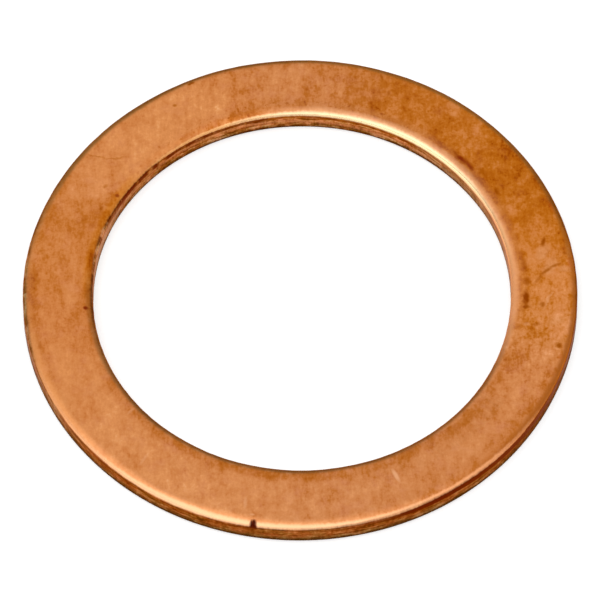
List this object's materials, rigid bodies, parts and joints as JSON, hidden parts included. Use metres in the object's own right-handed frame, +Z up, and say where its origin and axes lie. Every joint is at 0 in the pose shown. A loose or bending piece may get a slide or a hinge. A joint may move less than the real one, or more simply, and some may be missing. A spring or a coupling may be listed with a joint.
{
  "type": "banjo washer",
  "caption": "Flat soft copper ring that seals under the head of a hollow pipe bolt, with rolled shoulders on its upper edges.",
  "frame": {"origin": "centre of the outer edge, on the lower face that the ring lies on", "axes": "+Z up along the bore axis, through the face with the rolled shoulders; +Y points away from the picture's camera, +X to its right"},
  "size_m": [0.029, 0.029, 0.0015],
  "materials": {
    "copper": null
  },
  "bodies": {
    "root": {"sealing_ring": "copper"}
  },
  "joints": []
}
